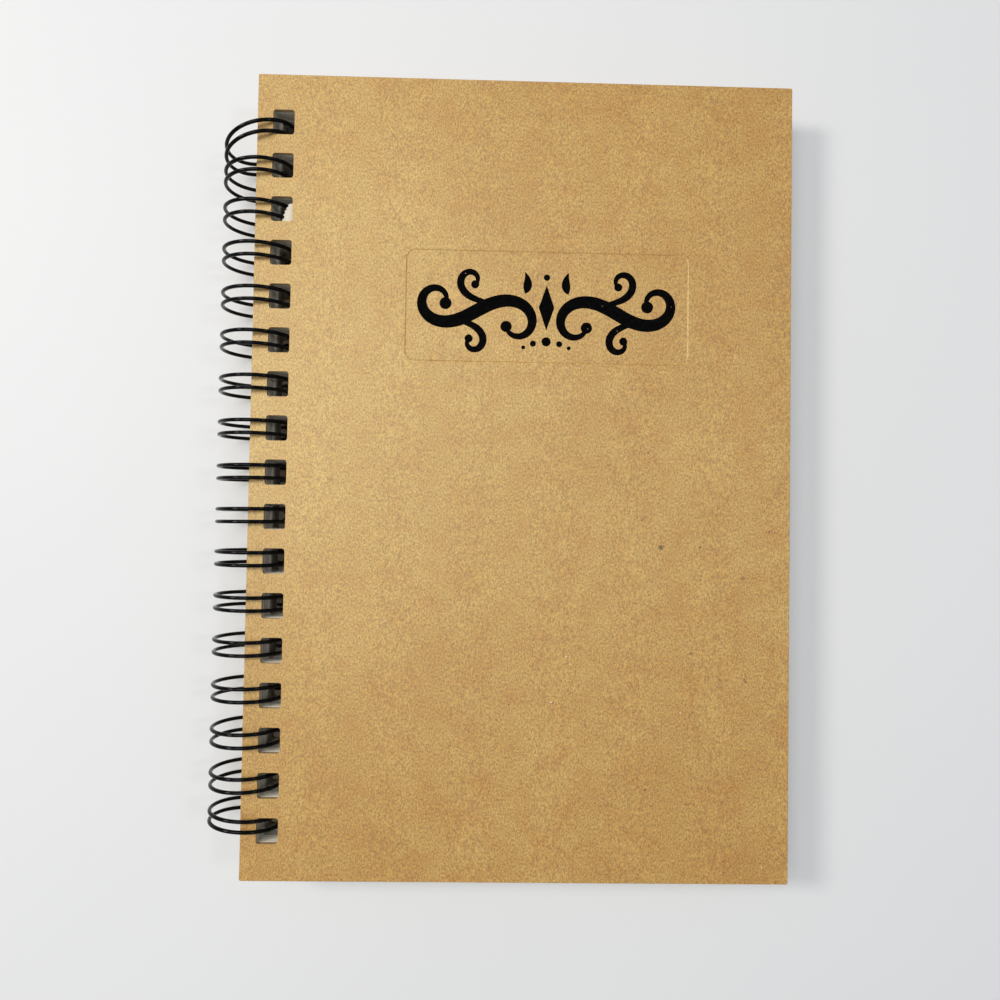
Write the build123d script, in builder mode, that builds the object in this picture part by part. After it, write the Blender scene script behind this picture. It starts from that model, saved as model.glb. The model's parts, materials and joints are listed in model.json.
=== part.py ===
from build123d import *

import os
from math import asin, atan2, cos, degrees, hypot, pi, radians, sin

# A wire-bound notebook, closed, lying on its back cover.
# +Y runs along the spine to the head, +X from the spine to the fore-edge, +Z up.
# The origin is under the middle of the whole book, on the surface that it lies on.
# Sizes are in millimetres.

# Covers: two boards of the same size
cover_width = 156.0
cover_height = 231.2
cover_thickness = 1.4
cover_corner_radius = 0.5
cover_edge_round = 0.2

# Sheets: a closed block, a little smaller than the boards that protect it
block_thickness = 13.28
head_overhang = 1.3
fore_edge_overhang = 2.0
sheet_corner_radius = 0.8

# Punching: one row of rounded rectangles beside the spine edge, as many as fit
hole_pitch = 12.7
least_end_margin = 12.0
hole_width = 6.15
hole_height = 7.25
hole_corner_radius = 0.8
spine_margin = 4.5

# Pressed panel on the front board
panel_width = 82.3
panel_height = 32.6
panel_corner_radius = 2.8
panel_depth = 0.16
panel_wall = 0.35
panel_from_spine = 84.8
panel_from_middle = 49.2

# Binding wire: one length, formed to twin loops with a rounded tip
wire_diameter = 1.1
twin_spacing = 3.65
twin_shift = 0.33
root_bend_radius = 1.1
end_stub = 1.2

# Air between a board and the sheets it lies on
seat_gap = 0.06

# Clearances of the wire
strip_clearance = 0.18
hole_clearance = 0.4
seam_clearance = 0.25
tip_gap = 0.35
channel_clearance = 0.2

# From head to tail, a hole's middle is never nearer to the board's end than the margin.
hole_count = int((cover_height - 2 * least_end_margin) / hole_pitch) + 1

# The loops are a circle that just goes round the punched strip of the closed book:
# it clears the strip's corners, top and bottom, and the far side of the holes.
stack_thickness = block_thickness + 2 * (cover_thickness + seat_gap)
half_stack = stack_thickness / 2
hole_play = hole_width - wire_diameter - strip_clearance - hole_clearance
strip_reach = (half_stack**2 - hole_play**2) / (2 * hole_play)
ring_axis_x = spine_margin - strip_reach
ring_inner_radius = strip_reach + hole_play + strip_clearance
ring_radius = ring_inner_radius + wire_diameter / 2
ring_outer_radius = ring_radius + wire_diameter / 2

# The wire is lower than the back board, so the book leans on it and on its fore-edge.
reach = cover_width - ring_axis_x
lean = asin(ring_outer_radius / hypot(reach, half_stack)) - atan2(half_stack, reach)
spine_rise = cover_width * sin(lean)
ring_left = ring_axis_x * cos(lean) + half_stack * sin(lean) - ring_outer_radius
fore_edge_right = cover_width * cos(lean) + stack_thickness * sin(lean)
spine_x = -(ring_left + fore_edge_right) / 2

# The book's own plane: its origin is the spine edge of the back board's underside,
# at mid-height of the page, and its Z goes through the stack.
book = Plane(
    origin=(spine_x, 0, spine_rise),
    x_dir=(cos(lean), 0, -sin(lean)),
    z_dir=(sin(lean), 0, cos(lean)),
)
block_bottom = cover_thickness + seat_gap
front_bottom = stack_thickness - cover_thickness


def hole_row():
    """Cut the row of binding holes into the sketch in hand."""
    with Locations((spine_margin + hole_width / 2, 0)):
        with GridLocations(0, hole_pitch, 1, hole_count):
            RectangleRounded(hole_width, hole_height, hole_corner_radius, mode=Mode.SUBTRACT)


def punched_sheet(width, height, corner_radius):
    """Draw a sheet with its spine edge on the Y axis, holes and all."""
    with Locations((width / 2, 0)):
        RectangleRounded(width, height, corner_radius)
    hole_row()


def outer_rims(part, bottom, top):
    """The outline edges of a board, on both of its faces."""
    height_limit = cover_height / 2 - cover_corner_radius
    rims = []
    for edge in part.edges():
        middle = book.to_local_coords(edge.center())
        on_face = min(abs(middle.Z - bottom), abs(middle.Z - top)) < 0.01
        at_side = middle.X < 0.5 or middle.X > cover_width - 0.5
        at_end = abs(middle.Y) > height_limit
        if on_face and (at_side or at_end):
            rims.append(edge)
    return rims


# Back board
with BuildPart() as back_cover:
    with BuildSketch(book):
        punched_sheet(cover_width, cover_height, cover_corner_radius)
    extrude(amount=cover_thickness)
    fillet(outer_rims(back_cover, 0, cover_thickness), cover_edge_round)

# Front board, with its pressed panel
with BuildPart() as front_cover:
    with BuildSketch(book.offset(front_bottom)):
        punched_sheet(cover_width, cover_height, cover_corner_radius)
    extrude(amount=cover_thickness)
    fillet(outer_rims(front_cover, front_bottom, stack_thickness), cover_edge_round)
    with BuildSketch(book.offset(stack_thickness)) as panel_mouth:
        with Locations((panel_from_spine, panel_from_middle)):
            RectangleRounded(panel_width, panel_height, panel_corner_radius)
    with BuildSketch(book.offset(stack_thickness - panel_depth)) as panel_floor:
        with Locations((panel_from_spine, panel_from_middle)):
            RectangleRounded(
                panel_width - 2 * panel_wall,
                panel_height - 2 * panel_wall,
                panel_corner_radius - panel_wall,
            )
    loft(mode=Mode.SUBTRACT)

# Binding wire. Its root line runs between the sheets and the back board.
root_height = cover_thickness + seam_clearance + wire_diameter / 2 - half_stack
bend_swing = atan2(root_bend_radius, ring_radius)
leg_start = bend_swing + asin(root_height / hypot(ring_radius, root_bend_radius))
root_x = ring_axis_x + ring_radius * cos(leg_start) + root_bend_radius * sin(leg_start)
root_z = half_stack + root_height
tip_reach = wire_diameter + tip_gap + twin_spacing / 2 + root_bend_radius
leg_end = leg_start + 2 * pi - tip_reach / ring_radius


def on_book(x, y, z):
    """A point in the book's own coordinates."""
    return book.from_local_coords(Vector(x, y, z))


def on_ring(angle, y):
    """A point of the loops' centre line: 0 faces the fore-edge, a quarter turn is up."""
    x = ring_axis_x + ring_radius * cos(angle)
    z = half_stack + ring_radius * sin(angle)
    return on_book(x, y, z)


def along_ring(angle):
    """The direction in which a leg that starts at the root passes an angle."""
    return on_book(-sin(angle), 0, cos(angle)) - on_book(0, 0, 0)


along_spine = Vector(0, 1, 0)
leg_middle = (leg_start + leg_end) / 2
first_hole_y = -(hole_count - 1) / 2 * hole_pitch
lower_leg = twin_shift - twin_spacing / 2
upper_leg = twin_shift + twin_spacing / 2

first_end_y = first_hole_y + lower_leg - root_bend_radius - end_stub
wire_end = on_book(root_x, first_end_y, root_z)

with BuildPart() as wire_binding:
    with BuildLine() as centre_line:
        run_start = first_end_y
        for index in range(hole_count):
            hole_y = first_hole_y + index * hole_pitch
            low = hole_y + lower_leg
            high = hole_y + upper_leg
            run_end = low - root_bend_radius
            Line(on_book(root_x, run_start, root_z), on_book(root_x, run_end, root_z))
            TangentArc(on_book(root_x, run_end, root_z), on_ring(leg_start, low), tangent=along_spine)
            ThreePointArc(on_ring(leg_start, low), on_ring(leg_middle, low), on_ring(leg_end, low))
            TangentArc(on_ring(leg_end, low), on_ring(leg_end, high), tangent=along_ring(leg_end))
            ThreePointArc(on_ring(leg_end, high), on_ring(leg_middle, high), on_ring(leg_start, high))
            run_start = high + root_bend_radius
            TangentArc(
                on_ring(leg_start, high),
                on_book(root_x, run_start, root_z),
                tangent=-along_ring(leg_start),
            )
        Line(on_book(root_x, run_start, root_z), on_book(root_x, run_start + end_stub, root_z))
    with BuildSketch(Plane(wire_end, z_dir=along_spine)):
        Circle(wire_diameter / 2)
    sweep(path=centre_line.wire())

# Sheets: one closed block. The last sheets give way in a shallow channel over the
# wire's root line.
channel_half_width = wire_diameter / 2 + channel_clearance
channel_top = root_z + wire_diameter / 2 + channel_clearance
channel_run = twin_spacing + 2 * (root_bend_radius + end_stub + channel_clearance)
channel_length = (hole_count - 1) * hole_pitch + channel_run
with BuildPart() as page_block:
    with BuildSketch(book.offset(block_bottom)):
        punched_sheet(
            cover_width - fore_edge_overhang,
            cover_height - 2 * head_overhang,
            sheet_corner_radius,
        )
    extrude(amount=block_thickness)
    with BuildSketch(book.offset(block_bottom)):
        with Locations((root_x, twin_shift)):
            Rectangle(2 * channel_half_width, channel_length)
    extrude(amount=channel_top - block_bottom, mode=Mode.SUBTRACT)

# What the hinges turn on
axis_point = on_book(ring_axis_x, 0, half_stack)
print("loop axis", [round(value, 4) for value in axis_point])
print("lean", round(degrees(lean), 4), "ring radius", round(ring_radius, 4))

back_cover.part.label = "back_cover"
page_block.part.label = "page_block"
front_cover.part.label = "front_cover"
wire_binding.part.label = "wire_binding"

os.makedirs("parts", exist_ok=True)
export_step(back_cover.part, "parts/back_cover.step")
export_step(page_block.part, "parts/page_block.step")
export_step(front_cover.part, "parts/front_cover.step")
export_step(wire_binding.part, "parts/wire_binding.step")
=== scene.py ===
import json
import math
import random

import bmesh
import bpy
from mathutils import Matrix, Vector
from mathutils.geometry import delaunay_2d_cdt, tessellate_polygon


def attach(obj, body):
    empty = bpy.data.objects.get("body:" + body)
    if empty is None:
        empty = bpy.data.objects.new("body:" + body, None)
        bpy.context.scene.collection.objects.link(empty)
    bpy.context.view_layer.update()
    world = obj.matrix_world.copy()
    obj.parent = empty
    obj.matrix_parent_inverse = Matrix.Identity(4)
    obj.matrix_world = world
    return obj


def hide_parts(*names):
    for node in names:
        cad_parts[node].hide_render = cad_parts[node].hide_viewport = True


# The looks of a wire-bound notebook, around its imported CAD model.
# Shapes are worked out in millimetres in the book's own coordinates: X from the spine
# edge to the fore-edge, Y along the spine to the head, Z up through the closed stack.
# BOOK takes them to the shared frame, in metres.

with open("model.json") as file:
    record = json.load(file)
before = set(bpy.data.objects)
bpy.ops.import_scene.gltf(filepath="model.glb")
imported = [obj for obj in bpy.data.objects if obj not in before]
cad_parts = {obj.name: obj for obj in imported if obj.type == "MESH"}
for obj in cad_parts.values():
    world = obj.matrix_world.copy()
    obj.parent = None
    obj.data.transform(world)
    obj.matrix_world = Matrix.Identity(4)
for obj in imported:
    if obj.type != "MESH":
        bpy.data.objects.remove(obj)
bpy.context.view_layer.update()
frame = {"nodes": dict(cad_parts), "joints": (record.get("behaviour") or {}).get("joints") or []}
random.seed(7)

MM = 0.001

# Driving sizes, the same as the CAD model's
COVER_WIDTH = 156.0
COVER_HEIGHT = 231.2
COVER_THICKNESS = 1.4
BLOCK_THICKNESS = 13.28
SEAT_GAP = 0.06
HEAD_OVERHANG = 1.3
FORE_EDGE_OVERHANG = 2.0
SHEET_CORNER_RADIUS = 0.8
HOLE_PITCH = 12.7
HOLE_COUNT = 17
HOLE_WIDTH = 6.15
HOLE_HEIGHT = 7.25
HOLE_CORNER_RADIUS = 0.8
SPINE_MARGIN = 4.5
PANEL_DEPTH = 0.16
WIRE_DIAMETER = 1.1
TWIN_SPACING = 3.65
TWIN_SHIFT = 0.33
ROOT_BEND_RADIUS = 1.1
END_STUB = 1.2
STRIP_CLEARANCE = 0.18
HOLE_CLEARANCE = 0.4
SEAM_CLEARANCE = 0.25
TIP_GAP = 0.35
CHANNEL_CLEARANCE = 0.2

# The closed book and its loops, worked out as in the CAD model
STACK = BLOCK_THICKNESS + 2 * (COVER_THICKNESS + SEAT_GAP)
HALF_STACK = STACK / 2
PLAY = HOLE_WIDTH - WIRE_DIAMETER - STRIP_CLEARANCE - HOLE_CLEARANCE
STRIP_REACH = (HALF_STACK**2 - PLAY**2) / (2 * PLAY)
RING_X = SPINE_MARGIN - STRIP_REACH
RING_RADIUS = STRIP_REACH + PLAY + STRIP_CLEARANCE + WIRE_DIAMETER / 2
RING_OUTER = RING_RADIUS + WIRE_DIAMETER / 2
ROOT_HEIGHT = COVER_THICKNESS + SEAM_CLEARANCE + WIRE_DIAMETER / 2 - HALF_STACK
BEND_SWING = math.atan2(ROOT_BEND_RADIUS, RING_RADIUS)
LEG_START = BEND_SWING + math.asin(ROOT_HEIGHT / math.hypot(RING_RADIUS, ROOT_BEND_RADIUS))
TIP_REACH = WIRE_DIAMETER + TIP_GAP + TWIN_SPACING / 2 + ROOT_BEND_RADIUS
LEG_END = LEG_START + 2 * math.pi - TIP_REACH / RING_RADIUS
ROOT_X = RING_X + RING_RADIUS * math.cos(LEG_START) + ROOT_BEND_RADIUS * math.sin(LEG_START)
ROOT_Z = HALF_STACK + ROOT_HEIGHT
REACH = COVER_WIDTH - RING_X
LEAN = math.asin(RING_OUTER / math.hypot(REACH, HALF_STACK)) - math.atan2(HALF_STACK, REACH)
LOOP_AXIS = Vector(frame["joints"][0]["pos_m"])
BOOK_X = Vector((math.cos(LEAN), 0, -math.sin(LEAN)))
BOOK_Z = Vector((math.sin(LEAN), 0, math.cos(LEAN)))
BOOK_ORIGIN = LOOP_AXIS - (BOOK_X * RING_X + BOOK_Z * HALF_STACK) * MM
BOOK = Matrix.Translation(BOOK_ORIGIN) @ Matrix((
    (BOOK_X.x * MM, 0, BOOK_Z.x * MM, 0),
    (0, MM, 0, 0),
    (BOOK_X.z * MM, 0, BOOK_Z.z * MM, 0),
    (0, 0, 0, 1),
))
HOLE_YS = [(index - (HOLE_COUNT - 1) / 2) * HOLE_PITCH for index in range(HOLE_COUNT)]


# ---------------------------------------------------------------- node trees

def new_material(name):
    """A material with nothing but its shader: (material, tree, shader)."""
    material = bpy.data.materials.new(name)
    material.use_nodes = True
    tree = material.node_tree
    return material, tree, tree.nodes["Principled BSDF"]


def node(tree, kind, inputs=None, **settings):
    """Add a node, set its options, and set or link its inputs by name or number."""
    made = tree.nodes.new("ShaderNode" + kind)
    for name, value in settings.items():
        setattr(made, name, value)
    for name, value in (inputs or {}).items():
        if isinstance(value, bpy.types.NodeSocket):
            tree.links.new(value, made.inputs[name])
        else:
            made.inputs[name].default_value = value
    return made


def maths(tree, operation, a, b=0.0):
    """A Math node's result."""
    return node(tree, "Math", {0: a, 1: b}, operation=operation).outputs[0]


def times(tree, a, b):
    """Two values multiplied."""
    return maths(tree, "MULTIPLY", a, b)


def dot(tree, a, b):
    """The dot product of two vectors."""
    return node(tree, "VectorMath", {0: a, 1: b}, operation="DOT_PRODUCT").outputs["Value"]


def remap(tree, value, low, high, to_low=0.0, to_high=1.0, smooth=False):
    """The value, taken from low..high to to_low..to_high and held inside it."""
    inputs = {
        "Value": value,
        "From Min": low,
        "From Max": high,
        "To Min": to_low,
        "To Max": to_high,
    }
    kind = "SMOOTHSTEP" if smooth else "LINEAR"
    return node(tree, "MapRange", inputs, interpolation_type=kind).outputs[0]


def blend_colour(tree, share, a, b, how="MIX"):
    """Colour a with b mixed in by share."""
    mix = node(tree, "Mix", {0: share}, data_type="RGBA", blend_type=how)
    for socket, value in ((mix.inputs[6], a), (mix.inputs[7], b)):
        if isinstance(value, bpy.types.NodeSocket):
            tree.links.new(value, socket)
        else:
            socket.default_value = (*value, 1)
    return mix.outputs[2]


def stretched(tree, vector, scale):
    """Coordinates, scaled by a triple."""
    return node(tree, "Mapping", {"Vector": vector, "Scale": scale}).outputs[0]


def noise(tree, vector, scale, detail=2.0, roughness=0.5, distortion=0.0):
    """A noise value from 0 to 1 with features of about 1/scale metres."""
    inputs = {
        "Vector": vector,
        "Scale": scale,
        "Detail": detail,
        "Roughness": roughness,
        "Distortion": distortion,
    }
    return node(tree, "TexNoise", inputs).outputs[0]


def specks(tree, vector, scale, share, size):
    """1 inside a few scattered dots: share of the cells that hold one, and its size in cells."""
    cells = node(tree, "TexVoronoi", {"Vector": vector, "Scale": scale})
    draw = node(tree, "SeparateColor", {0: cells.outputs["Color"]}).outputs[0]
    dot_edge = remap(tree, cells.outputs["Distance"], size, size * 0.5, smooth=True)
    return times(tree, maths(tree, "LESS_THAN", draw, share), dot_edge)


def stack_height(tree, coordinates):
    """Height through the stack, in metres above the back board's underside."""
    return maths(tree, "SUBTRACT", dot(tree, coordinates, BOOK_Z), BOOK_ORIGIN.dot(BOOK_Z))


def along_height(tree, height):
    """Coordinates that change with the height alone, for whatever lies in layers."""
    return node(tree, "CombineXYZ", {2: height}).outputs[0]


def fibres(tree, place, scale, width):
    """Thin wandering lines, broken into short lengths, faint."""
    wander = noise(tree, place, scale, 1, 0.5, 1.2)
    from_line = maths(tree, "ABSOLUTE", maths(tree, "SUBTRACT", wander, 0.5))
    line = remap(tree, from_line, width, 0, smooth=True)
    broken = remap(tree, noise(tree, place, scale * 5, 1), 0.6, 0.68)
    return times(tree, times(tree, line, broken), FIBRE_STRENGTH)


def mark(tree, coordinates, x, y, size):
    """1 inside one round mark on the front board, at a place in book millimetres."""
    centre = BOOK @ Vector((x, y, STACK))
    distance = node(tree, "VectorMath", {0: coordinates, 1: centre}, operation="DISTANCE")
    return remap(tree, distance.outputs["Value"], size * MM, size * MM * 0.4, smooth=True)


def add_relief(tree, shader, height, strength, depth):
    """Bump the surface: height is a value from 0 to 1, depth is in metres."""
    bump = node(tree, "Bump", {"Strength": strength, "Distance": depth, "Height": height})
    tree.links.new(bump.outputs[0], shader.inputs["Normal"])


# ---------------------------------------------------------------- materials

KRAFT_DEEP = (0.458, 0.203, 0.028)
KRAFT_PALE = (0.545, 0.284, 0.062)
KRAFT_WARM = (0.448, 0.160, 0.014)
KRAFT_PIT = (0.27, 0.085, 0.010)
SPECK_DARK = (0.095, 0.016, 0.0)
SPECK_PALE = (0.90, 0.82, 0.66)
# Painted light: a pale tone on the panel's recess walls, set against their shade
PANEL_WALL_PAINTED_LIGHT = (0.64, 0.37, 0.12)
CORE_DARK = (0.36, 0.215, 0.095)
CORE_PALE = (0.62, 0.43, 0.23)
KRAFT_SHEEN = (0.96, 1.0, 0.66, 1)
# The grain multiplies the board's colour by a tone between these
GRAIN_DARK = (0.50, 0.30, 0.09)
GRAIN_PALE = (1.50, 1.80, 2.15)

# What marks the front board: x and y in book millimetres, radius, tone
FRONT_MARKS = [
    (118.5, -19.8, 0.95, SPECK_DARK),
    (119.3, -19.5, 0.5, KRAFT_PIT),
    (129.9, -19.6, 0.5, SPECK_DARK),
    (150.0, -14.8, 0.45, SPECK_DARK),
    (142.4, -28.4, 0.8, KRAFT_PIT),
    (112.9, -12.1, 0.35, SPECK_DARK),
    (127.6, -50.1, 0.7, KRAFT_PIT),
    (143.4, -58.1, 0.4, SPECK_DARK),
    (143.1, -57.5, 0.35, SPECK_DARK),
    (114.6, 7.5, 0.4, SPECK_DARK),
    (57.0, 57.9, 0.35, SPECK_DARK),
    (91.6, -51.4, 0.27, SPECK_PALE),
    (87.4, -64.5, 0.3, SPECK_PALE),
    (87.9, -64.7, 0.2, SPECK_DARK),
    (75.4, -65.3, 0.28, SPECK_DARK),
    (72.0, -69.7, 0.45, KRAFT_PIT),
    (114.8, -89.0, 0.4, SPECK_DARK),
    (27.5, 99.0, 0.5, KRAFT_PIT),
    (101.5, 70.5, 0.35, KRAFT_PIT),
]

# Paper, and the painted shade inside the holes
PAPER_PALE = (0.86, 0.82, 0.72)
PAPER_SHADE = (0.66, 0.61, 0.50)
PAPER_WARM = (0.78, 0.70, 0.55)
# Painted shade: speckled dark patches on the holes' walls
HOLE_PAINTED_SHADE = (0.13, 0.12, 0.11)
# Painted shade: deep dark on the holes' walls that face the fore-edge, more towards the back board
DEEP_PAINTED_SHADE = (0.012, 0.012, 0.013)
# Where the holes are: from and to across the sheet, and how far along it from its middle
PUNCHED_FROM = 3.6
PUNCHED_TO = 11.5
PUNCHED_END = 107.0
# A face is a hole's wall, not a sheet's flat, where its normal's share upwards is less
WALL_UPRIGHT = 0.8

WIRE_BLACK = (0.0008, 0.0008, 0.0009)
WIRE_SCUFF = (0.004, 0.004, 0.0043)
INK_BLACK = (0.0012, 0.0012, 0.0014)
INK_THIN = (0.007, 0.006, 0.005)
INK_PINHOLE = (0.42, 0.3, 0.17)
TABLE_SHADE = (0.79, 0.79, 0.785)
TABLE_PALE = (0.81, 0.81, 0.805)
FIBRE_STRENGTH = 0.4
FINE_RELIEF = 0.05 * MM


def kraft_face(tree, place, grain_tone):
    """The board's face: pulp clouds, the grain, pits, dark and pale specks, fibres."""
    clouds = noise(tree, place, 34, 5, 0.6)
    mottle = noise(tree, place, 150, 5, 0.72)
    pits = noise(tree, place, 1150, 2, 0.6, 0.4)
    colour = blend_colour(tree, remap(tree, clouds, 0.25, 0.75), KRAFT_DEEP, KRAFT_PALE)
    colour = blend_colour(tree, remap(tree, mottle, 0.42, 0.68, 0, 0.7), colour, KRAFT_WARM)
    colour = blend_colour(tree, 0.95, colour, grain_tone, "MULTIPLY")
    colour = blend_colour(tree, remap(tree, pits, 0.62, 0.74, 0, 0.5), colour, KRAFT_PIT)

    # Specks: coordinates, scale, share of cells that hold one, size, strength and tone
    long_place = stretched(tree, place, (1, 0.45, 1))
    for at, scale, share, size, strength, tone in (
        (place, 330, 0.07, 0.09, 0.8, SPECK_DARK),
        (long_place, 520, 0.10, 0.24, 0.5, KRAFT_PIT),
        (place, 210, 0.02, 0.055, 0.8, SPECK_PALE),
    ):
        dots = times(tree, specks(tree, at, scale, share, size), strength)
        colour = blend_colour(tree, dots, colour, tone)
    colour = blend_colour(tree, fibres(tree, place, 90, 0.0035), colour, KRAFT_PALE)
    return blend_colour(tree, fibres(tree, place, 61, 0.003), colour, KRAFT_PIT)


def kraft_sides(tree, place, normal, colour, grain_tone):
    """The cut sides: (colour with the sides added, relief of the core's layers)."""
    side = remap(tree, maths(tree, "ABSOLUTE", dot(tree, normal, BOOK_Z)), 0.5, 0.25)
    height = stack_height(tree, place)
    # Painted light: the panel's recess walls are made paler against their shade
    pressed = maths(tree, "GREATER_THAN", height, (STACK - PANEL_DEPTH) * MM)
    colour = blend_colour(tree, times(tree, side, pressed), colour, PANEL_WALL_PAINTED_LIGHT)
    side = times(tree, side, maths(tree, "SUBTRACT", 1.0, pressed))
    layers = noise(tree, along_height(tree, height), 5200, 2, 0.7)
    core = blend_colour(tree, remap(tree, layers, 0.35, 0.65), CORE_DARK, CORE_PALE)
    core = blend_colour(tree, 0.4, core, grain_tone, "MULTIPLY")
    return blend_colour(tree, side, colour, core), times(tree, layers, side)


def make_kraft(name, seed_shift, marks=()):
    """Brown kraft board with a fine grain along the sheet and a layered core."""
    material, tree, shader = new_material(name)
    coordinates = node(tree, "TexCoord")
    surface = coordinates.outputs["Object"]
    place = node(tree, "VectorMath", {0: surface, 1: seed_shift}, operation="ADD").outputs[0]
    grain = noise(tree, stretched(tree, place, (1, 0.6, 1)), 2500, 3, 0.8)
    grain_tone = blend_colour(tree, remap(tree, grain, 0.34, 0.66), GRAIN_DARK, GRAIN_PALE)

    colour = kraft_face(tree, place, grain_tone)
    for x, y, size, tone in marks:
        colour = blend_colour(tree, mark(tree, surface, x, y, size), colour, tone)
    normal = coordinates.outputs["Normal"]
    colour, layers = kraft_sides(tree, surface, normal, colour, grain_tone)
    tree.links.new(colour, shader.inputs["Base Color"])

    tree.links.new(remap(tree, grain, 0.2, 0.8, 0.57, 0.51), shader.inputs["Roughness"])
    shader.inputs["Specular IOR Level"].default_value = 0.9
    shader.inputs["IOR"].default_value = 1.85
    shader.inputs["Specular Tint"].default_value = KRAFT_SHEEN
    add_relief(tree, shader, maths(tree, "ADD", grain, layers), 0.12, FINE_RELIEF)
    return material


def inside_holes(tree, place, normal):
    """1 on the walls of the punched holes."""
    from_origin = node(tree, "VectorMath", {0: place, 1: BOOK_ORIGIN}, operation="SUBTRACT")
    across = dot(tree, from_origin.outputs[0], BOOK_X)
    near_side = maths(tree, "GREATER_THAN", across, PUNCHED_FROM * MM)
    punched = times(tree, near_side, maths(tree, "LESS_THAN", across, PUNCHED_TO * MM))
    wall = maths(tree, "LESS_THAN", dot(tree, normal, BOOK_Z), WALL_UPRIGHT)
    along = maths(tree, "ABSOLUTE", node(tree, "SeparateXYZ", {0: place}).outputs[1])
    in_row = maths(tree, "LESS_THAN", along, PUNCHED_END * MM)
    return times(tree, times(tree, punched, wall), in_row)


def painted_hole_shade(tree, place, normal, height, colour):
    """Painted shade inside the holes: speckled on the walls, least on those facing the head, and
    deep on their walls away from the spine.
    """
    punched = inside_holes(tree, place, normal)
    # Painted shade in speckles, lighter on walls that face the head, where the key light falls
    headward = node(tree, "SeparateXYZ", {0: normal}).outputs[1]
    shade_share = remap(tree, headward, 0.15, 0.4, 0.75, 0.2)
    # The speckle pattern of this painted shade
    torn = remap(tree, noise(tree, place, 1700, 3, 0.75), 0.46, 0.56)
    torn = times(tree, punched, times(tree, torn, shade_share))
    colour = blend_colour(tree, torn, colour, HOLE_PAINTED_SHADE)

    # The painted shade is darker towards the back board
    facing_shade = times(tree, punched, remap(tree, dot(tree, normal, BOOK_X), 0.15, 0.4))
    depth_shade = remap(tree, height, 3 * MM, 13 * MM, 0.93, 0.6)
    return blend_colour(tree, times(tree, facing_shade, depth_shade), colour, DEEP_PAINTED_SHADE)


def make_paper():
    """Off-white writing paper, seen mostly at its cut edges."""
    material, tree, shader = new_material("sheets")
    coordinates = node(tree, "TexCoord")
    place = coordinates.outputs["Object"]
    height = stack_height(tree, place)
    sheet_tone = noise(tree, along_height(tree, height), 9000, 2, 0.8)
    drift = noise(tree, stretched(tree, place, (1, 1, 8)), 70, 3, 0.6)
    fluff = noise(tree, place, 2600, 2, 0.7)
    colour = blend_colour(tree, remap(tree, sheet_tone, 0.35, 0.65), PAPER_SHADE, PAPER_PALE)
    colour = blend_colour(tree, remap(tree, drift, 0.35, 0.7, 0, 0.4), colour, PAPER_WARM)
    colour = blend_colour(tree, remap(tree, fluff, 0.3, 0.5, 0.3, 0), colour, PAPER_SHADE)
    # Painted shade inside the holes
    colour = painted_hole_shade(tree, place, coordinates.outputs["Normal"], height, colour)
    tree.links.new(colour, shader.inputs["Base Color"])
    shader.inputs["Roughness"].default_value = 0.9
    shader.inputs["Specular IOR Level"].default_value = 0.25
    relief = maths(tree, "ADD", times(tree, fluff, 0.6), sheet_tone)
    add_relief(tree, shader, relief, 0.5, FINE_RELIEF)
    return material


def make_wire_coat():
    """Black nylon coating on steel wire: glossy, with a faint orange-peel."""
    material, tree, shader = new_material("black_wire")
    place = node(tree, "TexCoord").outputs["Object"]
    peel = noise(tree, place, 1600, 2, 0.5)
    scuff = noise(tree, place, 420, 3, 0.6)
    colour = blend_colour(tree, remap(tree, scuff, 0.55, 0.8, 0, 0.6), WIRE_BLACK, WIRE_SCUFF)
    tree.links.new(colour, shader.inputs["Base Color"])
    tree.links.new(remap(tree, scuff, 0.3, 0.75, 0.06, 0.14), shader.inputs["Roughness"])
    shader.inputs["Specular IOR Level"].default_value = 0.15
    add_relief(tree, shader, peel, 0.05, 0.03 * MM)
    return material


def make_ink():
    """Black print on kraft: dense, with pinholes where fibres show through."""
    material, tree, shader = new_material("black_ink")
    place = node(tree, "TexCoord").outputs["Object"]
    cover = noise(tree, place, 900, 3, 0.7)
    colour = blend_colour(tree, remap(tree, cover, 0.45, 0.75, 0, 0.7), INK_BLACK, INK_THIN)
    pinholes = times(tree, specks(tree, place, 700, 0.12, 0.14), 0.8)
    colour = blend_colour(tree, pinholes, colour, INK_PINHOLE)
    tree.links.new(colour, shader.inputs["Base Color"])
    shader.inputs["Roughness"].default_value = 0.8
    shader.inputs["Specular IOR Level"].default_value = 0.03
    add_relief(tree, shader, cover, 0.3, 0.04 * MM)
    return material


def make_table():
    """Pale matt table top."""
    material, tree, shader = new_material("table_top")
    place = node(tree, "TexCoord").outputs["Object"]
    tone = noise(tree, place, 9, 3, 0.5)
    colour = blend_colour(tree, tone, TABLE_SHADE, TABLE_PALE)
    tree.links.new(colour, shader.inputs["Base Color"])
    shader.inputs["Roughness"].default_value = 0.6
    shader.inputs["Specular IOR Level"].default_value = 0.25
    return material


# ---------------------------------------------------------------- mesh helpers

def piece(name, bodywork, material, body, smooth=True):
    """Turn a bmesh in book millimetres into a piece that rides on a body."""
    bmesh.ops.recalc_face_normals(bodywork, faces=bodywork.faces)
    bodywork.transform(BOOK)
    mesh = bpy.data.meshes.new(name)
    bodywork.to_mesh(mesh)
    bodywork.free()
    mesh.materials.append(material)
    mesh.polygons.foreach_set("use_smooth", [smooth] * len(mesh.polygons))
    made = bpy.data.objects.new(name, mesh)
    bpy.context.scene.collection.objects.link(made)
    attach(made, body)
    return made


def bridge(bodywork, lower, upper):
    """Quads between two closed rings of as many vertices."""
    for index in range(len(lower)):
        after = (index + 1) % len(lower)
        bodywork.faces.new((lower[index], lower[after], upper[after], upper[index]))


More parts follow.
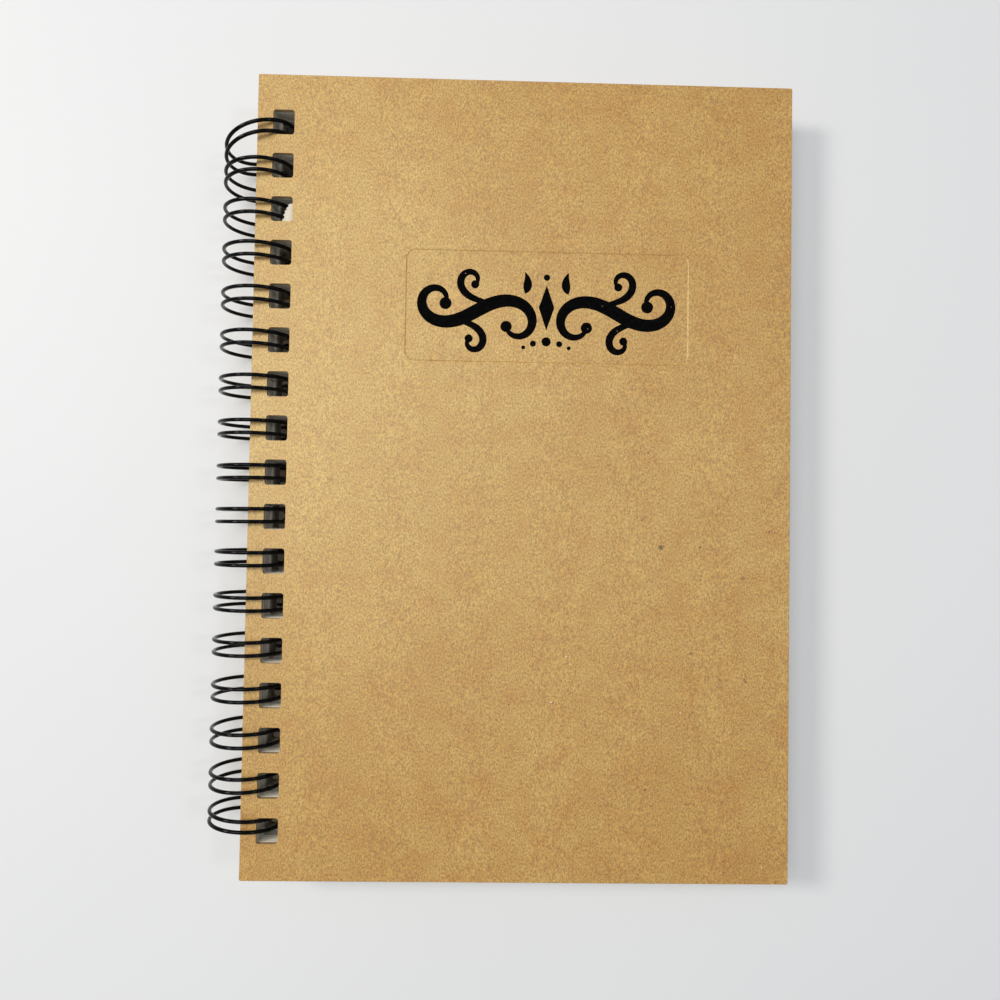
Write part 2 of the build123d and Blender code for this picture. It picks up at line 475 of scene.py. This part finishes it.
def cap(bodywork, loops):
    """Flat faces over an outline with holes in it, given as loops of vertices."""
    flat = [vertex for loop in loops for vertex in loop]
    for corner in tessellate_polygon([[vertex.co for vertex in loop] for loop in loops]):
        bodywork.faces.new([flat[index] for index in corner])


def arc(centre_x, centre_y, radius, start, end, steps):
    """Points along a flat arc, both ends included; angles in degrees."""
    points = []
    for step in range(steps + 1):
        angle = math.radians(start + (end - start) * step / steps)
        points.append((centre_x + radius * math.cos(angle), centre_y + radius * math.sin(angle)))
    return points


# ---------------------------------------------------------------- sheets

SHEET_COUNT = 78
# How far the corners of a sheet's cut edge are rounded in
GROOVE = 0.07
CORNER_STEPS = 3
EDGE_STEPS = 24
# The sheets lie in lifts that have slid on the loops: top of the lift in the stack,
# slide away from the spine, slide to the head, and twist in degrees
LIFTS = [
    (STACK, 0.0, 0.05, 0.0),
    (9.7, 0.62, -0.12, -0.2),
    (5.9, 0.42, 0.08, -0.1),
]
# How far each sheet strays from its lift, its twist in degrees, and its slight wave
LOOSE = 0.05
LOOSE_TWIST = 0.01
WAVE = 0.03
# Between the sheets that have the channel and those over it
PARTING = 0.01


def between(a, b, share):
    """A point of the line from a to b."""
    return tuple(start + (end - start) * share for start, end in zip(a, b))


def sheet_outline(inset):
    """A sheet's outer edge, pulled in by inset: round corners, and sides in short steps."""
    radius = SHEET_CORNER_RADIUS
    left = inset + radius
    right = COVER_WIDTH - FORE_EDGE_OVERHANG - inset - radius
    top = COVER_HEIGHT / 2 - HEAD_OVERHANG - inset - radius
    centres = [(right, -top, -90), (right, top, 0), (left, top, 90), (left, -top, 180)]
    corners = [arc(x, y, radius, start, start + 90, CORNER_STEPS) for x, y, start in centres]
    points = []
    for corner, after in zip(corners, corners[1:] + corners[:1]):
        points += corner
        for step in range(1, EDGE_STEPS):
            points.append(between(corner[-1], after[0], step / EDGE_STEPS))
    return points


def half_hole(y, side, inset):
    """One side of a hole's edge, from its lower end to its upper end; side is 1 or -1."""
    middle = SPINE_MARGIN + HOLE_WIDTH / 2
    reach = HOLE_WIDTH / 2 + inset - HOLE_CORNER_RADIUS
    rise = HOLE_HEIGHT / 2 + inset - HOLE_CORNER_RADIUS
    low = arc(middle + reach, y - rise, HOLE_CORNER_RADIUS, -90, 0, CORNER_STEPS)
    high = arc(middle + reach, y + rise, HOLE_CORNER_RADIUS, 0, 90, CORNER_STEPS)
    return [(middle + side * (x - middle), at) for x, at in low + high]


def hole_outline(y, inset):
    """A whole hole, once round."""
    return half_hole(y, 1, inset) + half_hole(y, -1, inset)[::-1]


def joined_side(side, inset):
    """One side of the joined holes' edge, from the tail to the head; side is 1 or -1."""
    x = ROOT_X + side * (WIRE_DIAMETER / 2 + CHANNEL_CLEARANCE + inset)
    run = TWIN_SPACING / 2 + ROOT_BEND_RADIUS + END_STUB + CHANNEL_CLEARANCE + inset
    wall = [(x, HOLE_YS[0] + TWIN_SHIFT - run)]
    for y in HOLE_YS:
        half = half_hole(y, side, inset)
        wall += [(x, half[0][1]), *half, (x, half[-1][1])]
    return [*wall, (x, HOLE_YS[-1] + TWIN_SHIFT + run)]


def joined_holes(inset):
    """All the holes as one opening, joined by the channel over the wire's root line."""
    return joined_side(1, inset) + joined_side(-1, inset)[::-1]


def slid(points, slide, height):
    """A sheet's points after its slide, at a height in the stack."""
    along_x, along_y, twist = slide
    turn = math.radians(twist)
    placed = []
    for x, y in points:
        wave = WAVE * math.sin(y * 0.11 + height * 2.3) * math.sin(x * 0.05 + height)
        turned_x = x * math.cos(turn) - y * math.sin(turn)
        turned_y = x * math.sin(turn) + y * math.cos(turn)
        placed.append((turned_x + along_x + wave, turned_y + along_y + wave, height))
    return placed


def sheet_rings(bottom, top, count):
    """Each level of a stack's outlines: (height, inset, slide), three levels a sheet."""
    thickness = (top - bottom) / count
    rings = []
    for index in range(count):
        low = bottom + index * thickness
        lift = [entry for entry in LIFTS if entry[0] > low + thickness / 2][-1]
        loose_x = random.uniform(-LOOSE, LOOSE)
        loose_y = random.uniform(-LOOSE, LOOSE)
        twist = lift[3] + random.uniform(-LOOSE_TWIST, LOOSE_TWIST)
        slide = (lift[1] + loose_x, lift[2] + loose_y, twist)
        for share, inset in ((0.0, GROOVE), (0.25, 0.0), (0.75, 0.0)):
            rings.append((low + share * thickness, inset, slide))
    return [*rings, (top, GROOVE, slide)]


def build_sheets(bodywork, bottom, top, count, inner_loops):
    """A closed stack of sheets between two heights, each with a round in its cut edge."""
    previous = None
    for height, inset, slide in sheet_rings(bottom, top, count):
        loops = []
        for outline in [sheet_outline(inset), *inner_loops(inset)]:
            loops.append([bodywork.verts.new(point) for point in slid(outline, slide, height)])
        if previous is None:
            cap(bodywork, loops)
        else:
            for lower, upper in zip(previous, loops):
                bridge(bodywork, lower, upper)
        previous = loops
    cap(bodywork, previous)


def make_sheets(material):
    """The page block: the sheets that have the channel, and those over the root line."""
    bodywork = bmesh.new()
    block_bottom = COVER_THICKNESS + SEAT_GAP
    block_top = block_bottom + BLOCK_THICKNESS
    channel_top = ROOT_Z + WIRE_DIAMETER / 2 + CHANNEL_CLEARANCE
    low_count = round(SHEET_COUNT * (channel_top - block_bottom) / BLOCK_THICKNESS)
    build_sheets(
        bodywork, block_bottom, channel_top - PARTING, low_count,
        lambda inset: [joined_holes(inset)],
    )
    build_sheets(
        bodywork, channel_top, block_top, SHEET_COUNT - low_count,
        lambda inset: [hole_outline(y, inset) for y in HOLE_YS],
    )
    made = piece("page_sheets", bodywork, material, "bound_block", smooth=False)
    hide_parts("page_block")
    return made


# The scrap's row from the tail, its height in the stack, and the wall it rests against
SCRAP_ROW = 14
SCRAP_HEIGHT = 14.62
SCRAP_THICKNESS = 0.08
SCRAP_WALL = 10.6
SCRAP_RIPPLE = 0.06
# The torn edge: x, and y from the middle of the hole
SCRAP_EDGE = [
    (7.5, -3.5), (7.2, -3.1), (7.5, -2.7), (7.3, -2.2), (7.8, -1.6), (7.7, -1.1), (8.2, -0.6),
    (8.0, -0.1), (8.6, 0.3), (8.5, 0.8), (9.1, 1.3), (9.0, 1.8), (9.5, 2.1),
]


def make_scrap(material):
    """A ragged scrap of a torn-out sheet, caught in one hole against its wall."""
    y = HOLE_YS[SCRAP_ROW]
    outline = [(x, y + up) for x, up in SCRAP_EDGE]
    outline += [(SCRAP_WALL, y + SCRAP_EDGE[-1][1] + 0.1), (SCRAP_WALL, y + SCRAP_EDGE[0][1])]
    bodywork = bmesh.new()
    rings = []
    for height in (SCRAP_HEIGHT, SCRAP_HEIGHT + SCRAP_THICKNESS):
        ring = []
        for x, at in outline:
            ripple = SCRAP_RIPPLE * math.sin(3 * x + at)
            ring.append(bodywork.verts.new((x, at, height + ripple)))
        rings.append(ring)
    bridge(bodywork, *rings)
    for ring in rings:
        cap(bodywork, [ring])
    return piece("torn_scrap", bodywork, material, "bound_block", smooth=False)


# ---------------------------------------------------------------- print

# Middle of the ornament on the front board, and its size against the drawing
PRINT_X = 84.55
PRINT_Y = 47.4
PRINT_SCALE = 1.03
INK_GAP = 0.004
INK_THICKNESS = 0.026
DISC_STEPS = 28
# Points of the drawing that are nearer than this are one point
JOIN_REACH = 1e-5


def curl(x, y, heading, length, bend_start, bend_end, steps=48):
    """A flowing line from a point: bends are in degrees per millimetre, left is positive."""
    points = [(x, y)]
    angle = math.radians(heading)
    for step in range(steps):
        bend = bend_start + (bend_end - bend_start) * (step + 0.5) / steps
        angle += math.radians(bend) * length / steps
        x += math.cos(angle) * length / steps
        y += math.sin(angle) * length / steps
        points.append((x, y))
    return points


def scroll(x, y, heading, length, turn_back, turn_on):
    """An S-scroll through a point, which curls by so many degrees at each end."""
    half = length / 2
    onward = curl(x, y, heading, half, 0, 2 * turn_on / half)
    backward = curl(x, y, heading + 180, half, 0, 2 * turn_back / half)
    return backward[:0:-1] + onward


def tapered(start, middle, end):
    """A stroke's width along its length: at its start, its middle and its end."""
    rise = middle - (start + end) / 2
    return lambda share: start * (1 - share) + end * share + rise * math.sin(math.pi * share)


def leaf(share):
    """A leaf's width along its length."""
    return 2.2 * math.sin(math.pi * share**0.75) ** 1.1 + 0.2


def stroke(points, width):
    """A pen stroke along points, as four-cornered patches."""
    edges = []
    for index, (x, y) in enumerate(points):
        before = points[max(index - 1, 0)]
        after = points[min(index + 1, len(points) - 1)]
        along = Vector((after[0] - before[0], after[1] - before[1])).normalized()
        half = width(index / (len(points) - 1)) / 2
        left = (x - along.y * half, y + along.x * half)
        right = (x + along.y * half, y - along.x * half)
        edges.append((left, right))
    return [(near[0], near[1], far[1], far[0]) for near, far in zip(edges, edges[1:])]


def disc(x, y, radius):
    """A round dot, as one patch."""
    return tuple(arc(x, y, radius, 0, 360, DISC_STEPS)[:-1])


def flourish():
    """A divider ornament: a lozenge between two scrolls, as overlapping patches."""
    main = scroll(20.0, 0.2, -30, 62, 285, 320)
    upper = curl(16.4, 2.6, 18, 20, -3, 33)
    lower = curl(24.7, -2.3, 200, 18, -3, 35)
    branch = tapered(1.2, 2.1, 0.9)
    half = stroke(main, tapered(1.1, 3.8, 1.1)) + stroke(upper, branch) + stroke(lower, branch)
    half += stroke(curl(6.1, 5.6, 118, 6.2, -9, -9), leaf)
    ends = ((main[0], 1.6), (main[-1], 1.7), (upper[-1], 1.15), (lower[-1], 1.15))
    half += [disc(x, y, radius) for (x, y), radius in ends]
    half += [disc(3.7, -8.6, 0.85), disc(6.4, -9.7, 0.55)]
    mirrored = [tuple((-x, y) for x, y in patch) for patch in half]
    lozenge = ((0, 8.0), (2.2, 1.6), (0, -4.8), (-2.2, 1.6))
    return half + mirrored + [lozenge, disc(0, -8.0, 1.3), disc(0, 10.2, 0.9)]


def flat_ink(patches):
    """Overlapping patches as one flat shape on the board: (points, triangles)."""
    corners = []
    faces = []
    for patch in patches:
        faces.append(list(range(len(corners), len(corners) + len(patch))))
        for x, y in patch:
            corners.append(Vector((PRINT_X + x * PRINT_SCALE, PRINT_Y + y * PRINT_SCALE)))
    points, _, triangles, _, _, origins = delaunay_2d_cdt(corners, [], faces, 1, JOIN_REACH)
    return points, [triangle for triangle, origin in zip(triangles, origins) if origin]


def make_print(material):
    """The ornament, a thin layer of ink on the panel's floor."""
    points, triangles = flat_ink(flourish())
    floor = STACK - PANEL_DEPTH + INK_GAP
    bodywork = bmesh.new()
    low = [bodywork.verts.new((point.x, point.y, floor)) for point in points]
    high = [bodywork.verts.new((point.x, point.y, floor + INK_THICKNESS)) for point in points]
    directed = set()
    for triangle in triangles:
        bodywork.faces.new([high[index] for index in triangle])
        bodywork.faces.new([low[index] for index in reversed(triangle)])
        directed.update(zip(triangle, [*triangle[1:], triangle[0]]))
    for start, end in sorted(directed):
        if (end, start) not in directed:
            bodywork.faces.new((low[start], low[end], high[end], high[start]))
    # Points inside a gap of the drawing belong to no face
    loose = [vertex for vertex in bodywork.verts if not vertex.link_faces]
    bmesh.ops.delete(bodywork, geom=loose)
    return piece("cover_ornament", bodywork, material, "front_board", smooth=False)


# ---------------------------------------------------------------- binding wire

LEG_STEPS = 72
BEND_STEPS = 6
TIP_STEPS = 10
TUBE_SIDES = 14

# Loops that have been knocked over: row from the tail, slide along the spine, tilt per
# millimetre towards the outside, tilt per millimetre downwards, and pinch of the twin
KNOCKED = {
    16: (-1.35, -0.29, -0.11, 0.5),
    15: (-0.55, -0.07, -0.05, 0.2),
    14: (-0.35, 0.0, 0.0, 0.0),
    0: (1.0, 0.07, -0.03, 0.8),
}
# A leaning loop stays true at this point, the rim of its hole in the front board
HOLD_X = 6.7
HOLD_Z = 15.4
# Turning on from the root, the lean grows over ROOT_EASE, fades over BACK_EASE and is
# gone at BACK_END; the slide is complete before the lean is
ROOT_EASE = math.radians(30)
BACK_EASE = math.radians(50)
BACK_END = math.radians(322)
SLIDE_SOONER = 1.5
# Unevenness of the other loops: slide, and tilt outwards and downwards, each way
UNEVEN_SLIDE = 0.25
UNEVEN_OUT = 0.012
UNEVEN_DOWN = 0.02
# How far the wire's domed ends stand out, as a share of its radius
TIP_DOME = 0.35


def eased(share):
    """A share held between 0 and 1, with a soft start and end."""
    share = max(0.0, min(1.0, share))
    return share * share * (3 - 2 * share)


def loop_bends():
    """How each loop is bent, by row: slide, tilt outwards, tilt downwards and pinch."""
    bends = dict(KNOCKED)
    for row in range(HOLE_COUNT):
        if row not in bends:
            slide = random.uniform(-UNEVEN_SLIDE, UNEVEN_SLIDE)
            tilt_out = random.uniform(-UNEVEN_OUT, UNEVEN_OUT)
            tilt_down = random.uniform(-UNEVEN_DOWN, UNEVEN_DOWN)
            bends[row] = (slide, tilt_out, tilt_down, 0.0)
    return bends


def loop_shift(bend, x, z, angle):
    """How far along the spine a loop's wire stands from its true plane."""
    slide, tilt_out, tilt_down, _ = bend
    lean = tilt_out * (HOLD_X - x) + tilt_down * (HOLD_Z - z)
    ease = eased((angle - LEG_START) / ROOT_EASE) * eased((BACK_END - angle) / BACK_EASE)
    return slide * min(1.0, ease * SLIDE_SOONER) + lean * ease


def ring_place(angle):
    """A loop's centre line, x and z: angle 0 faces the fore-edge, a quarter turn is up."""
    x = RING_X + RING_RADIUS * math.cos(angle)
    return x, HALF_STACK + RING_RADIUS * math.sin(angle)


def leg(bend, y, outward):
    """One wire of a twin loop, from the root bend to the tip or back."""
    points = []
    for step in range(LEG_STEPS + 1):
        share = step / LEG_STEPS if outward else 1 - step / LEG_STEPS
        angle = LEG_START + (LEG_END - LEG_START) * share
        x, z = ring_place(angle)
        points.append(Vector((x, y + loop_shift(bend, x, z, angle), z)))
    return points


def root_bend(y, towards):
    """From the root line up into a leg: towards is 1 where the wire comes from the tail."""
    x, z = ring_place(LEG_START)
    centre = Vector((x, y - towards * ROOT_BEND_RADIUS, z))
    out = Vector((ROOT_X, y - towards * ROOT_BEND_RADIUS, ROOT_Z)) - centre
    points = []
    for step in range(BEND_STEPS):
        angle = math.pi / 2 * step / BEND_STEPS
        rise = Vector((0, towards * ROOT_BEND_RADIUS * math.sin(angle), 0))
        points.append(centre + (out * math.cos(angle) + rise))
    return points


def tip_bend(low, high):
    """The rounded end of a twin loop, between the ends of its two legs."""
    middle = (low + high) / 2
    half = (high - low) / 2
    onward = Vector((-math.sin(LEG_END), 0, math.cos(LEG_END))) * half.length
    points = []
    for step in range(1, TIP_STEPS):
        angle = math.pi * step / TIP_STEPS
        points.append(middle - half * math.cos(angle) + onward * math.sin(angle))
    return points


def twin_loop(bend, y):
    """One twin loop from the root line and back to it."""
    low = y - TWIN_SPACING / 2
    high = y + TWIN_SPACING / 2
    first = leg(bend, low, True)
    second = leg(bend, high, False)
    pinch_legs(bend, first, second)
    points = root_bend(low, 1) + first
    points += tip_bend(first[-1], second[0])
    return points + second + root_bend(high, -1)[::-1]


def wire_path():
    """The centre line of the whole binding, from the tail to the head."""
    bends = loop_bends()
    start = HOLE_YS[0] + TWIN_SHIFT - TWIN_SPACING / 2 - ROOT_BEND_RADIUS - END_STUB
    points = [Vector((ROOT_X, start, ROOT_Z))]
    for row, y in enumerate(HOLE_YS):
        points += twin_loop(bends[row], y + TWIN_SHIFT)
    points.append(Vector((ROOT_X, points[-1].y + END_STUB, ROOT_Z)))
    return points


def pinch_legs(bend, first, second):
    """Draw the wires of a twin together, most at mid-loop."""
    pinch = bend[3]
    for index in range(LEG_STEPS + 1):
        closing = pinch / 2 * math.sin(math.pi * index / LEG_STEPS) ** 0.5
        first[index].y += closing
        second[index].y -= closing


def tube(bodywork, points, radius, sides):
    """A closed round tube along points, with domed ends."""
    normal = Vector((0, 0, 1))
    rings = []
    for index, point in enumerate(points):
        before = points[max(index - 1, 0)]
        after = points[min(index + 1, len(points) - 1)]
        tangent = (after - before).normalized()
        normal = (normal - tangent * normal.dot(tangent)).normalized()
        side = tangent.cross(normal)
        ring = []
        for step in range(sides):
            angle = 2 * math.pi * step / sides
            away = (normal * math.cos(angle) + side * math.sin(angle)) * radius
            ring.append(bodywork.verts.new(point + away))
        rings.append(ring)
    for lower, upper in zip(rings, rings[1:]):
        bridge(bodywork, lower, upper)
    for ring, end, inner in ((rings[0], points[0], points[1]), (rings[-1], points[-1], points[-2])):
        tip = bodywork.verts.new(end + (end - inner).normalized() * radius * TIP_DOME)
        for index in range(sides):
            bodywork.faces.new((ring[index], ring[(index + 1) % sides], tip))


def make_wire(material):
    """The binding: one wire, bent to twin loops."""
    bodywork = bmesh.new()
    tube(bodywork, wire_path(), WIRE_DIAMETER / 2, TUBE_SIDES)
    made = piece("binding_wire", bodywork, material, "bound_block")
    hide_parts("wire_binding")
    return made


# ---------------------------------------------------------------- scene

# Name, place, radius, watts and colour; each faces the middle of the book
LIGHTS = [
    ("key_light", Vector((-0.96, 0.34, 1.0)).normalized() * 1.25, 0.16, 6.1, (1.0, 0.955, 0.89)),
    ("ceiling_light", Vector((-0.30, 0.2, 1.15)), 0.34, 5.2, (1.0, 0.99, 0.97)),
    ("fill_light", Vector((0.75, 0.1, 1.1)), 0.08, 1.3, (0.95, 0.97, 1.0)),
]
ROOM_COLOUR = (0.91, 0.965, 1.05, 1)
ROOM_STRENGTH = 0.37
TABLE_SIZE = 6

CAMERA_PLACE = (-0.00078, -0.01279, 0.2380)
CAMERA_TURN = (1.5299, -0.1623, 0.9254)
CAMERA_LENS = 27.594
CAMERA_SENSOR = 36
CAMERA_NEAR = 0.01


def light_disk(name, place, radius, strength, colour):
    """A round soft light that faces the book."""
    lamp = bpy.data.lights.new(name, "AREA")
    lamp.shape = "DISK"
    lamp.size = 2 * radius
    lamp.energy = strength
    lamp.color = colour
    made = bpy.data.objects.new(name, lamp)
    made.location = place
    made.rotation_euler = (-place).to_track_quat("-Z", "Y").to_euler()
    bpy.context.scene.collection.objects.link(made)


def make_room():
    """A pale table, a key light from the left, a soft ceiling light and an even room."""
    bpy.ops.mesh.primitive_plane_add(size=TABLE_SIZE)
    table = bpy.context.object
    table.name = "table_top"
    table.data.materials.append(make_table())

    for light in LIGHTS:
        light_disk(*light)

    world = bpy.data.worlds.new("room")
    bpy.context.scene.world = world
    world.use_nodes = True
    sky = world.node_tree.nodes["Background"]
    sky.inputs["Color"].default_value = ROOM_COLOUR
    sky.inputs["Strength"].default_value = ROOM_STRENGTH
    bpy.context.scene.view_settings.view_transform = "Standard"


def make_camera():
    """Looking straight down on the book."""
    camera = bpy.data.cameras.new("camera")
    camera.sensor_width = CAMERA_SENSOR
    camera.lens = CAMERA_LENS
    camera.clip_start = CAMERA_NEAR
    made = bpy.data.objects.new("camera", camera)
    made.location = CAMERA_PLACE
    made.rotation_euler = [math.radians(angle) for angle in CAMERA_TURN]
    bpy.context.scene.collection.objects.link(made)
    bpy.context.scene.camera = made


make_camera()
make_room()

front_kraft = make_kraft("kraft_board_front", (0, 0, 0), FRONT_MARKS)
back_kraft = make_kraft("kraft_board_back", (0.37, 0.11, 0.05))
for cover, board in (("front_cover", front_kraft), ("back_cover", back_kraft)):
    for material_slot in frame["nodes"][cover].material_slots:
        material_slot.material = board

make_print(make_ink())
paper = make_paper()
make_sheets(paper)
make_scrap(paper)
make_wire(make_wire_coat())
